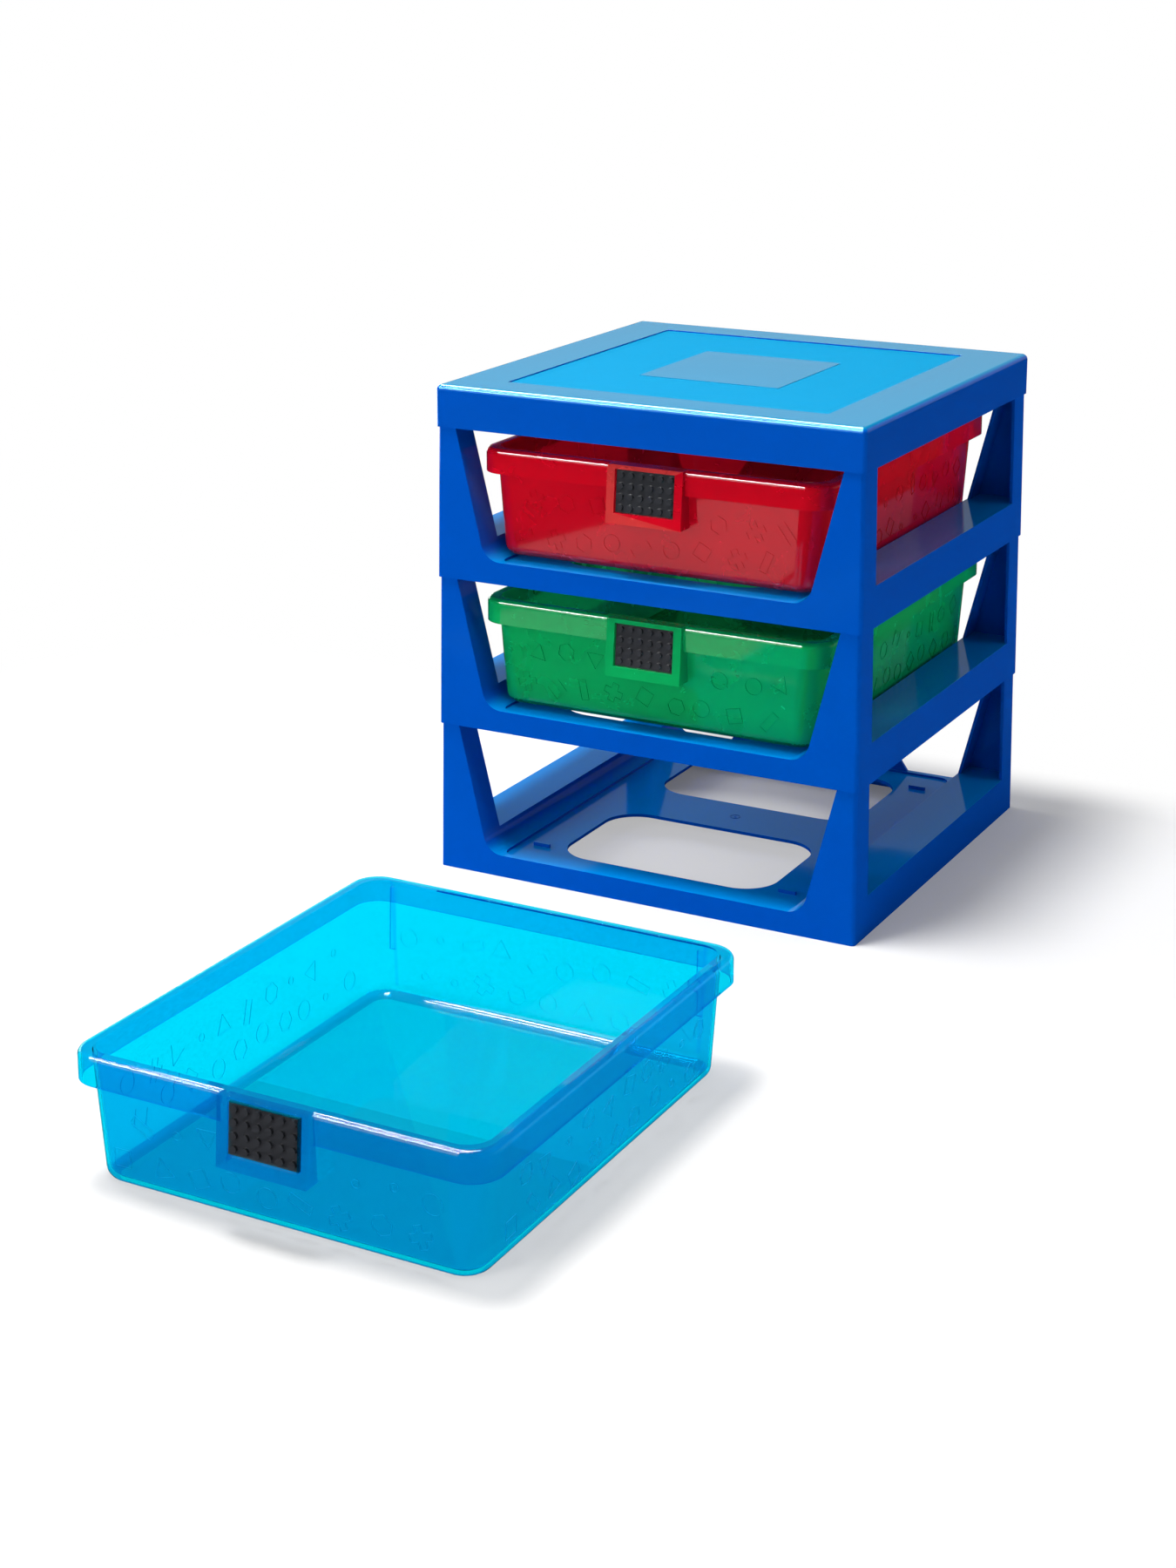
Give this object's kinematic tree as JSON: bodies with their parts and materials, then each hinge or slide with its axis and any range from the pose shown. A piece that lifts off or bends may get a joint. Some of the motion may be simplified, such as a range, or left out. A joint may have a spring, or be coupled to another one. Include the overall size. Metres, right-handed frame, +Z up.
{
  "type": "drawer storage rack",
  "caption": "Stacking plastic rack with open sides and translucent pull-out drawers, each with a studded grip plate, one drawer standing on the floor in front.",
  "frame": {"origin": "middle of the rack's front foot edge, on the floor", "axes": "+Z up, +Y into the rack from its front, +X to the right as seen from the front; drawers pull out along -Y"},
  "size_m": [0.3595, 0.8866, 0.38],
  "materials": {
    "rack_plastic": "glossy moulded polypropylene, deep blue",
    "cover_plastic": "glossy moulded polypropylene, deep blue, with a satin sunk panel",
    "red_plastic": "glossy translucent polypropylene, red",
    "green_plastic": "glossy translucent polypropylene, green",
    "blue_plastic": "glossy translucent polypropylene, bright blue",
    "stud_plastic": "moulded black plastic"
  },
  "bodies": {
    "rack": {"lower_tier": "rack_plastic", "middle_tier": "rack_plastic", "upper_tier": "rack_plastic", "top_cover": "cover_plastic"},
    "red_drawer": {"red_drawer": "red_plastic", "red_stud_plate": "stud_plastic"},
    "green_drawer": {"green_drawer": "green_plastic", "green_stud_plate": "stud_plastic"},
    "blue_drawer": {"blue_drawer": "blue_plastic", "blue_stud_plate": "stud_plastic"}
  },
  "joints": [
    {"name": "red_drawer_slide", "type": "slide", "parent": "rack", "child": "red_drawer", "axis": [0, -1, 0], "range_m": [0, 0.28]},
    {"name": "green_drawer_slide", "type": "slide", "parent": "rack", "child": "green_drawer", "axis": [0, -1, 0], "range_m": [0, 0.28]},
    {"name": "blue_drawer_slide", "type": "slide", "parent": "rack", "child": "blue_drawer", "axis": [0, -1, 0], "range_m": [-0.2, 0.1]}
  ]
}
